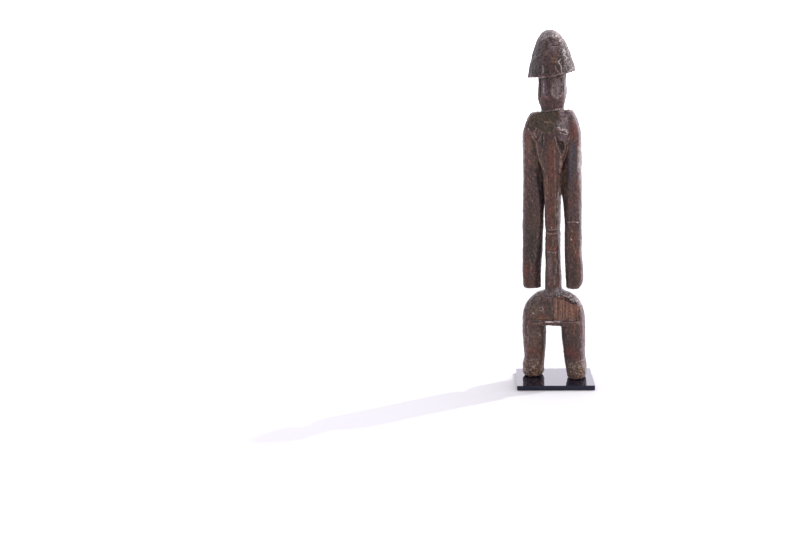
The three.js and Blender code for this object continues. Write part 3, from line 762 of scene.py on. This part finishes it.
# %% Colours and streaks
# Each colour as a screen shows it, 0 to 255.
COLOURS = {
    "umber": (60, 39, 31),
    "russet": (92, 48, 35),
    "plum": (70, 47, 50),
    # The near-black below is laid both as dirt and as painted shade in grooves, gaps and under overhangs.
    "soot": (20, 13, 13),
    # The blue-black below is laid mostly as painted shade: in the gaps beside the arms, on the left arm
    # and on the cap's left.
    "ink": (32, 28, 38),
    "bark": (40, 26, 22),
    "moss": (58, 50, 34),
    "slate": (62, 58, 67),
    # Lilac, ash, bone and grey serve both as dust, wear and pale marks and as painted highlights and rims.
    "lilac": (124, 108, 118),
    "ash": (148, 132, 132),
    "bone": (220, 206, 200),
    "ochre": (132, 96, 48),
    "rust": (98, 42, 34),
    "fresh": (122, 85, 70),
    "straw": (136, 109, 92),
    "grey": (146, 143, 144),
}
LIGHT = {name: np.array(screen(*parts)) for name, parts in COLOURS.items()}

# Each streak: its colour and strength, the noise where it starts and where it is full, its size and seed.
STREAKS = [
    ("russet", 0.8, -0.15, 0.5, (5, 5, 26), 61.3),
    ("plum", 0.7, 0, 0.5, (7, 7, 18), 19.1),
    ("bark", 0.4, 0.05, 0.6, (2.4, 2.4, 6), 81.7),
    ("straw", 0.12, 0.1, 0.6, (1.6, 1.6, 5), 44.9),
]
paint = np.tile(LIGHT["umber"], (len(skin.points), 1))


def lay(colour, share):
    """Lays a colour over the paint, by a share at each point."""
    global paint
    paint = paint + (LIGHT[colour] - paint) * np.clip(share, 0, 1)[:, None]


for colour, strength, start, full, size, seed in STREAKS:
    lay(colour, strength * ease(start, full, skin.cloud(size, seed)))
print("paint after the streaks:", paint.mean(axis=0).round(3))

# %% [markdown]
# ## Stains
#
# Oil and handling leave a reddish shine, smoke and dirt an olive crust, and bare grey wood shows where
# it is rubbed. Some regions are painted shade instead: the cap's left side, the nose's left flank, the
# temples, and the inner faces of the left arm and the right leg with the gaps beside the arms. Others
# are painted highlights: the lit edges of the head, column, arms, legs and left foot, and partly the
# pale tops of the cap and hips. Each stain is an egg-shaped region with a ragged soft edge. They could
# be dabbed on in paint mode, but a list can be read, moved and weakened line by line.

# %% Stains
# Each stain: its colour and strength, its middle across, deep and up, and how far it reaches.
STAINS = [
    # Cap
    # The dark regions on the cap's left side are painted shade, away from the light.
    ("soot", 0.7, (-19, -18, 455), (13, 20, 30)),
    ("umber", 0.5, (-2, -28, 462), (12, 12, 26)),
    ("soot", 0.6, (-25, -13, 447), (11, 20, 20)),
    ("ink", 0.5, (-17, -18, 462), (12, 20, 26)),
    ("plum", 0.4, (0, -24, 452), (14, 14, 26)),
    ("bark", 0.4, (-3, -22, 462), (14, 16, 30)),
    # Painted shade low on the front of the cap's left half.
    ("soot", 0.75, (-14, -22, 438), (20, 16, 9)),
    ("lilac", 0.25, (4, -22, 474), (5, 14, 12)),
    ("bark", 0.4, (-9, -20, 478), (12, 16, 14)),
    ("moss", 0.3, (-2, 0, 494), (24, 30, 11)),
    # Pale grey on the cap's top: partly weathering, partly painted top light.
    ("grey", 0.6, (-2, -4, 492), (16, 18, 8)),
    # Head and neck
    ("ash", 0.5, (8, -17, 410), (6, 7, 11)),
    ("ash", 0.15, (12, -17, 420), (3, 7, 6)),
    ("lilac", 0.8, (-6.8, -18, 414), (3, 6, 12)),
    # Painted shade on the nose's left flank.
    ("soot", 0.4, (-2.6, -19, 420), (2.6, 5, 7)),
    # Painted shade in the right temple groove.
    ("soot", 0.8, (17, -13, 419), (2, 5, 11)),
    # Painted pale rim along the head's left edge.
    ("grey", 0.6, (-20.5, -8, 410), (2.4, 12, 12)),
    ("soot", 0.75, (-11, -15, 386), (9, 9, 6)),
    ("ash", 0.5, (15, -14, 383), (4, 8, 4)),
    # Painted shade on the nose's left flank.
    ("bark", 0.75, (-0.8, -19, 415), (2.6, 5, 12)),
    # Painted pale rim along the head's left edge.
    ("lilac", 0.8, (-19.5, -8, 412), (3, 12, 14)),
    ("ash", 0.45, (10, -17, 424), (7, 7, 6)),
    ("ash", 0.4, (3.5, -18, 411), (3, 6, 5)),
    ("rust", 0.4, (3, -17, 394), (15, 9, 8)),
    ("bark", 0.7, (2, -17, 393), (15, 9, 9)),
    ("plum", 0.5, (2, -17, 396), (15, 9, 9)),
    ("soot", 0.5, (-1, -17, 394), (15, 9, 9)),
    ("rust", 0.2, (-1, -17, 395), (15, 9, 9)),
    # Painted highlight on the lit right side of the head.
    ("ash", 0.6, (21, -6, 414), (2.5, 12, 14)),
    ("grey", 0.8, (21, -6, 412), (3, 12, 16)),
    # Chest and shoulders
    ("lilac", 0.6, (19.5, -15, 376), (5.5, 8, 7)),
    ("moss", 0.3, (9, -16, 368), (6, 8, 9)),
    ("ash", 0.6, (17, -15, 364), (9, 8, 8)),
    ("bark", 0.75, (30, -13, 367), (5, 8, 9)),
    ("bark", 0.6, (-8, -15, 342), (5.5, 8, 13)),
    ("lilac", 0.4, (18.5, -14, 347), (5.5, 8, 5.5)),
    ("rust", 0.65, (33, -13, 361), (5, 14, 11)),
    ("rust", 0.4, (-30, -13, 346), (5, 10, 12)),
    # Column and arms
    ("rust", 0.65, (1, -15, 311), (6.5, 9, 15)),
    ("bark", 0.45, (-1, -15, 350), (7, 8, 13)),
    ("russet", 0.6, (0, -14, 270), (7, 9, 66)),
    ("straw", 0.25, (-34, -13, 316), (7, 8, 46)),
    # Painted shade in the gaps beside the arms.
    ("ink", 0.6, (-18, -8, 283), (4, 12, 14)),
    ("ink", 0.65, (23.8, -11, 303), (3.2, 10, 11)),
    ("moss", 0.5, (17.5, -9, 290), (3.6, 10, 13)),
    ("ochre", 0.18, (14, -9, 290), (4.5, 10, 20)),
    ("slate", 0.7, (29, -13, 320), (6.5, 9, 17)),
    ("slate", 0.5, (31, -13, 299), (8, 9, 10)),
    ("plum", 0.8, (34, -12, 242), (6.5, 10, 15)),
    ("plum", 0.6, (-36, -12, 290), (5, 10, 60)),
    # Painted pale rim along the left arm's outer edge.
    ("ash", 0.9, (-41.8, -11, 318), (3.8, 12, 48)),
    ("lilac", 0.5, (-41.5, -11, 238), (3.6, 12, 45)),
    # Painted highlight on the lit outer side of the right arm.
    ("bone", 0.5, (40.5, -6, 315), (3, 14, 30)),
    ("ash", 0.4, (40.5, -6, 190), (3, 14, 17)),
    # Painted highlight along the lit right flank of the column.
    ("bone", 0.5, (10.2, -7, 231), (3, 7, 38)),
    ("bone", 1, (11.8, 0, 208), (2.4, 14, 60)),
    ("bark", 0.85, (39.5, -6, 232), (4, 14, 27)),
    ("soot", 0.4, (-27.5, -13, 307), (4, 8, 16)),
    ("straw", 0.5, (-21.5, -12, 314), (3.6, 8, 12)),
    ("straw", 0.4, (-14, -11, 298), (3.2, 8, 24)),
    ("straw", 0.45, (13.6, -11, 294), (2.6, 8, 24)),
    ("straw", 0.3, (23, -13, 334), (3, 8, 8)),
    # Painted highlight along the lit right flank of the column.
    ("bone", 0.6, (11, -6, 264), (2.2, 9, 15)),
    ("lilac", 0.5, (-10.8, -5, 200), (1.9, 8, 70)),
    ("ink", 0.4, (-38, -12, 205), (4, 10, 40)),
    # Painted shade on the inner face of the left arm.
    ("ink", 0.5, (-20.5, -8, 185), (4, 12, 52)),
    ("moss", 0.75, (-28, -13, 194), (7, 10, 35)),
    ("bark", 0.7, (-28, -13, 174), (8, 10, 38)),
    ("soot", 0.3, (-30, -13, 180), (9, 10, 32)),
    ("rust", 0.6, (-31, -12, 148), (10, 12, 14)),
    ("russet", 0.6, (31, -12, 178), (9, 12, 40)),
    ("bark", 0.5, (27, -13, 164), (8, 10, 28)),
    ("bark", 0.55, (-28, -12, 142), (13, 14, 14)),
    ("bark", 0.6, (31, -12, 142), (13, 14, 12)),
    ("soot", 0.25, (30, -12, 166), (9, 12, 10)),
    ("rust", 0.85, (0.5, -12, 191), (7.5, 6, 3)),
    ("lilac", 0.35, (-4, -11, 162), (3.5, 6, 22)),
    # Hips
    ("bark", 0.35, (-28, -20, 112), (12, 10, 10)),
    ("bark", 0.8, (-34, -12, 119), (10, 16, 9)),
    ("soot", 0.35, (-27, -17, 112), (7, 10, 8)),
    ("straw", 0.35, (-22, -20, 101), (12, 10, 10)),
    ("bark", 0.5, (4, -16, 121), (14, 10, 4)),
    # Pale grey on the tops of the hips: partly crust, partly painted top light.
    ("grey", 0.5, (10, -12, 128), (10, 10, 4)),
    ("grey", 0.3, (-20, -8, 124), (18, 18, 7)),
    ("moss", 0.4, (-20, -20, 105), (18, 10, 14)),
    ("russet", 0.6, (-11, -20, 90), (11, 6, 5)),
    # Legs and feet
    ("plum", 0.6, (-38, -10, 62), (5, 16, 22)),
    ("rust", 0.7, (-26, -15, 38), (8, 10, 6)),
    ("rust", 0.7, (29, -15, 40), (9, 10, 7)),
    # Painted shade on the inner face of the right leg.
    ("soot", 0.5, (16, -14, 55), (4, 14, 24)),
    ("soot", 0.8, (13.5, -14, 71), (4.4, 14, 14)),
    ("straw", 0.2, (-27, -17, 50), (12, 8, 30)),
    # Painted highlight on the left ankle's side.
    ("lilac", 0.5, (-41, -12, 35), (4, 12, 10)),
    # Painted pale rims along the outer faces of the legs.
    ("ash", 0.6, (-44.5, -10, 72), (3.4, 14, 22)),
    ("ash", 0.4, (45.5, -10, 50), (3.4, 14, 50)),
    ("moss", 0.35, (0, 0, 8), (60, 40, 17)),
    ("straw", 0.4, (-21, -17, 14), (9, 10, 14)),
    ("straw", 0.6, (-27, -16, 2), (14, 10, 4)),
    ("straw", 0.5, (34, -18, 2), (12, 10, 4)),
    ("bark", 0.5, (20, -16, 12), (5, 12, 12)),
    ("ochre", 0.25, (-26, -17, 7), (8, 8, 7)),
    ("ochre", 0.25, (40, -18, 12), (7, 8, 9)),
    # Painted highlight on the left foot's toe.
    ("lilac", 0.5, (-40, -12, 7), (5, 10, 6)),
]
for colour, strength, centre, reach in STAINS:
    lay(colour, strength * skin.region(centre, reach, soft=0.5, ragged_by=0.5))
print("paint after", len(STAINS), "stains:", paint.mean(axis=0).round(3))

# %% [markdown]
# ## Faces that turn away
#
# Faces that turn sideways get a painted rim highlight, with some dust. The inner faces of the arms get
# painted shade, where the torso hides them from the light, and the cap's left outline a painted pale
# rim. Faces that look up get a pale grey, partly dust and partly painted top light. The way each point
# faces tells them apart, so no region has to be drawn. Inside the arm on the viewer's right the painted
# shade ends at the elbow.

# %% Faces that turn away
ARMS = (120, 135, 320, 345)
ARM_STARTS = 9
RIGHT_ARM_SHADE_TOP = (305, 265)
DUST_AND_TOP_LIGHT_BLOTCH = (6, 6, 20)

right_turn = skin.normals[:, 0]
level_part = np.hypot(right_turn, skin.normals[:, 1])
side_on = abs(right_turn) / np.maximum(level_part, 0.3)
edge_on = ease(0.75, 0.97, side_on) * (right_turn * skin.across > 0)
inner = skin.facing["right"] * (skin.across < 0) + skin.facing["left"] * (skin.across > 0)
arms = between(*ARMS, skin.height) * (abs(skin.across) > ARM_STARTS)
shaded_part = ease(*RIGHT_ARM_SHADE_TOP, skin.height * (skin.across > 0))
on_cap = ease(*CAP_STARTS, skin.height)

# Painted rim highlight, with some dust, on faces turned sideways; weaker on the cap.
lay("lilac", 0.4 * edge_on * (1 - 0.6 * on_cap))
# Painted shade on the inner faces of the arms, where the torso hides them from the light.
lay("soot", 0.55 * inner * arms * shaded_part)
# Painted pale rim, a reflection of the bright room, along the cap's left outline.
lay("grey", 0.75 * ease(0.93, 0.99, side_on) * on_cap * (skin.across < 0))
# Pale grey on faces that look up: partly dust, partly painted top light.
lay("ash", 0.3 * skin.facing["top"] * ease(-0.5, 0.4, skin.cloud(DUST_AND_TOP_LIGHT_BLOTCH, 29.9)))
print("points that face sideways:", int((edge_on > 0.5).sum()))

# %% [markdown]
# ## Colours of the rough places
#
# The split is raw wood, warm and pale between its darker fibres. The crust over it is grey, with white
# painted glints on the tops of its lumps. On the crazed side of the cap pale lines stand on dirt: the
# raised edges of the craze, painted pale as glints. The chest's crust is olive. The patterns are those
# that shaped the relief, so colour and form agree.

# %% Colours of the rough places
CRAZED_LOW_FRONT = ((21, -20, 449), (10, 14, 12))
SPLIT_PALE_FOOT = (99, 90)

split, crumbly, crust, crazed, chest = places()
lay("moss", 0.85 * chest)

ribs = skin.cloud(*SPLIT_RIBS)
lay("fresh", split)
lay("straw", 0.38 * split * ease(0, 0.5, ribs))
lay("umber", 0.4 * split * ease(0, -0.5, ribs))
lay("straw", 0.35 * split * ease(*SPLIT_PALE_FOOT, skin.height))

lay("bark", 0.95 * crazed)
lay("soot", 0.35 * crazed)
lay("soot", 0.75 * crazed * ease(0.02, 0.12, 1 - skin.net(*CRAZE, 0.3)))
# Painted glints on the raised lines of the craze.
lay("bone", 0.66 * crazed * skin.net(*CRAZE, 0.13) * ease(0.55, -0.1, skin.ragged))
lay("bark", 0.55 * skin.region(*CRAZED_LOW_FRONT))

lumps = skin.cloud(*LUMPS)
lay("bark", 0.6 * crust)
lay("grey", 0.7 * crust * ease(-0.1, 0.3, lumps))
# Painted glints on the tops of the crust's lumps.
lay("bone", 0.8 * crust * ease(0.2, 0.45, lumps))
print("paint after the rough places:", paint.mean(axis=0).round(3))

# %% [markdown]
# ## Specks, dirt, wear and painted shade
#
# The top of the cap and the feet are grainy, because they stood out in the weather and in the damp.
# Specks lie over the rest. The back and the sides are plainer and browner: painted shade that keeps
# the strong light from behind from paling them. At last the hollows get dirt and painted shade, and
# rubbing pales the ridges, both from the same measure that found the chips.

# %% Specks, dirt, wear and painted shade
WEAR_PASSES = 10
WEATHERED = (475, 489)
DAMP = (30, 18)
LOW_HIPS = (LEDGE - 4, LEDGE, HIP_TOP - 8, HIP_TOP)
REAR = (-3, 14)
GRAIN = (1.7, 1.7, 2.1)
SPECK = (2.4, 2.4, 3.2)
BACK_BLOTCH = (7, 7, 18)

cap_top = ease(*WEATHERED, skin.height)
feet = ease(*DAMP, skin.height)
grains = skin.cloud(GRAIN, 57.7)
lay("soot", 0.6 * np.maximum(cap_top, 0.85 * feet) * ease(0.1, 0.4, -grains))
lay("bone", 0.45 * cap_top * ease(0.15, 0.45, grains))
lay("straw", 0.4 * feet * ease(0, 0.3, grains))
lay("bone", 0.35 * feet * ease(0.2, 0.45, grains))
lay("ochre", 0.1 * feet)

specks = skin.cloud(SPECK, 93.3)
lay("bark", 0.4 * ease(0.1, 0.5, -specks) * (1 - 0.6 * split))
lay("straw", 0.2 * ease(0.2, 0.55, specks) * (1 - 0.6 * split))

# Painted shade on the back and the sides, so the strong light from behind doesn't pale them.
sides = np.maximum(skin.facing["left"], skin.facing["right"])
shaded_back = np.maximum(skin.facing["back"], 0.6 * sides) * ease(*REAR, skin.deep + 4 * skin.ragged)
lay("umber", 0.55 * shaded_back)
lay("bark", 0.3 * shaded_back * ease(-0.2, 0.4, skin.cloud(BACK_BLOTCH, 19.1)))

ridge = proud(figure.data, WEAR_PASSES)
low_hips = between(*LOW_HIPS, skin.height)
# Dirt and painted shade in the hollows.
lay("soot", (0.85 - 0.3 * low_hips) * ease(-0.06, -0.4, ridge) * (1 - 0.5 * split))
lay("straw", 0.3 * ease(0.08, 0.4, ridge) * (1 - 0.6 * shaded_back))
lay("ash", 0.5 * ease(0.3, 0.7, ridge) * (1 - 0.6 * shaded_back))
print("worn points:", int((ridge > 0.3).sum()), "dirty points:", int((ridge < -0.3).sum()))

# %% [markdown]
# ## Marks, oil and the stored paint
#
# The single marks come over everything. Oil from hands has yellowed the waist and the forearms a
# little, so they lose some blue. The finished paint is stored as a colour attribute, and a second
# attribute tells the material where the wood is raw. A vertex colour layer from the editor is the
# same thing.

# %% Marks, oil and the stored paint
OIL_TAKES = (0, 0.02, 0.1)
WAIST = (215, 222, 335, 350)
WAIST_HALF = (10, 8)
FOREARMS = (128, 145, 225, 245)

for mark in MARKS:
    lay(mark.colour, mark.share * drawn(mark))

waist = between(*WAIST, skin.height) * ease(*WAIST_HALF, abs(skin.across))
oily = np.maximum(waist, between(*FOREARMS, skin.height))
paint = paint * (1 - np.outer(oily, OIL_TAKES))
raw = np.clip(split + 0.6 * chest + 0.5 * crust, 0, 1)

layer = figure.data.attributes.new("paint", "FLOAT_COLOR", "POINT")
opaque = np.hstack([paint, np.ones((len(paint), 1))])
layer.data.foreach_set("color", opaque.astype(np.float32).ravel())
raw_layer = figure.data.attributes.new("raw", "FLOAT", "POINT")
raw_layer.data.foreach_set("value", raw.astype(np.float32))
print("mean paint:", paint.mean(axis=0).round(3), "raw points:", int((raw > 0.5).sum()))

# %% [markdown]
# ## The wood
#
# The material takes the colour laid on each point and breaks it up by what is too fine for the mesh:
# fibres, pores and specks of dirt, from noise stretched upwards on Object coordinates, so that it runs
# with the grain on every side. Fibres and pores also make the bump. The handled wood has a waxy shine
# that varies in blotches, and the raw split is dull. A little sheen stands for the dust that greys
# every edge seen at a flat angle. It is a plain value on the shader's own socket.

# %% Wood
# Each noise: how wide and how tall one blotch is in millimetres, and its detail.
FIBRE = (0.6, 9, 5)
MOTTLE = (5, 8, 6)
PORE = (1.4, 2.2, 3)
# Each ramp: the dark and the light end of the noise, and what the paint or the roughness is there.
FIBRE_SHADE = (0.3, 0.7, 0.66, 1.34)
PORE_SHADE = (0.3, 0.7, 0.55, 1.45)
MOTTLE_SHADE = (0.35, 0.65, 0.75, 1.25)
WAXY = (0.35, 0.65, 0.36, 0.56)
RAW_DULLS = 0.3
FIBRE_HEIGHT = 0.7
PORE_HEIGHT = 0.6
BUMP_STRENGTH = 0.7
BUMP_DEPTH = 0.4 * MM
WOOD_SOCKETS = {
    "IOR": 1.45,
    "Sheen Weight": 0.05,
    "Sheen Roughness": 0.35,
    "Sheen Tint": (0.85, 0.78, 0.88, 1),
}


def stretched_noise(tree, coordinates, across_mm, along_mm, detail):
    """Noise whose blotches are so wide and so tall, in millimetres."""
    scale = (1 / across_mm / MM, 1 / across_mm / MM, 1 / along_mm / MM)
    stretch = node(tree, "ShaderNodeMapping", {"Vector": coordinates, "Scale": scale})
    made = node(tree, "ShaderNodeTexNoise", {"Vector": stretch.outputs[0], "Scale": 1, "Detail": detail})
    return made.outputs["Fac"]


def scaled_colour(tree, colour, amount):
    """Multiplies a colour by a number."""
    grey = node(tree, "ShaderNodeCombineColor", {0: amount, 1: amount, 2: amount}).outputs[0]
    made = node(tree, "ShaderNodeMix", {6: colour, 7: grey}, data_type="RGBA", blend_type="MULTIPLY")
    made.inputs[0].default_value = 1
    return made.outputs[2]


wood = add_material("old_carved_wood", WOOD_SOCKETS)
tree = wood.node_tree
shader = tree.nodes["Principled BSDF"]
spot = node(tree, "ShaderNodeTexCoord").outputs["Object"]
fibres = stretched_noise(tree, spot, *FIBRE)
mottle = stretched_noise(tree, spot, *MOTTLE)
pores = stretched_noise(tree, spot, *PORE)

painted = node(tree, "ShaderNodeAttribute", attribute_name="paint").outputs["Color"]
fine_shade = maths(tree, "MULTIPLY", ramp(tree, fibres, *FIBRE_SHADE), ramp(tree, pores, *PORE_SHADE))
shade = maths(tree, "MULTIPLY", fine_shade, ramp(tree, mottle, *MOTTLE_SHADE))
tree.links.new(scaled_colour(tree, painted, shade), shader.inputs["Base Color"])

raw_part = node(tree, "ShaderNodeAttribute", attribute_name="raw").outputs["Fac"]
waxy = ramp(tree, mottle, *WAXY)
dulled = maths(tree, "ADD", waxy, maths(tree, "MULTIPLY", raw_part, RAW_DULLS))
tree.links.new(dulled, shader.inputs["Roughness"])

high_fibres = maths(tree, "MULTIPLY", fibres, FIBRE_HEIGHT)
high_pores = maths(tree, "MULTIPLY", pores, PORE_HEIGHT)
ripple = maths(tree, "ADD", high_fibres, high_pores)
bump = node(tree, "ShaderNodeBump", {"Height": ripple, "Strength": BUMP_STRENGTH, "Distance": BUMP_DEPTH})
tree.links.new(bump.outputs[0], shader.inputs["Normal"])
figure.data.materials.append(wood)
figure.data.shade_smooth()
print("wood nodes:", len(tree.nodes))

# %% [markdown]
# ## The gloss
#
# Black acrylic is a mirror with nothing behind it: almost no colour, hardly any roughness, and
# reflections that grow towards a flat angle by themselves. Polishing leaves faint waves and hairlines,
# which the roughness follows. The mirror image is slightly cool, so its tint is too.

# %% Gloss
WAVE = (12, 12, 3)
POLISH = (0.3, 0.7, 0.02, 0.05)
GLOSS_SOCKETS = {"Base Color": (*screen(8, 9, 26), 1), "IOR": 1.49, "Specular Tint": (0.78, 0.8, 1, 1)}

gloss = add_material("black_gloss", GLOSS_SOCKETS)
tree = gloss.node_tree
spot = node(tree, "ShaderNodeTexCoord").outputs["Object"]
haze = stretched_noise(tree, spot, *WAVE)
polished = ramp(tree, haze, *POLISH)
tree.links.new(polished, tree.nodes["Principled BSDF"].inputs["Roughness"])
plate.data.materials.append(gloss)
print("gloss nodes:", len(tree.nodes))

# %% [markdown]
# ## Put the pieces in the frame
#
# The figure goes back to its turned place on the plate. Each new piece hides the solid that it stands
# for and rides on the one body.

# %% Finish
figure.data.transform(stand)
for piece, solid, slot in ((figure, "figure", "carved_wood"), (plate, "display_plate", "black_gloss")):
    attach(piece, "root")
    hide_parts(solid)
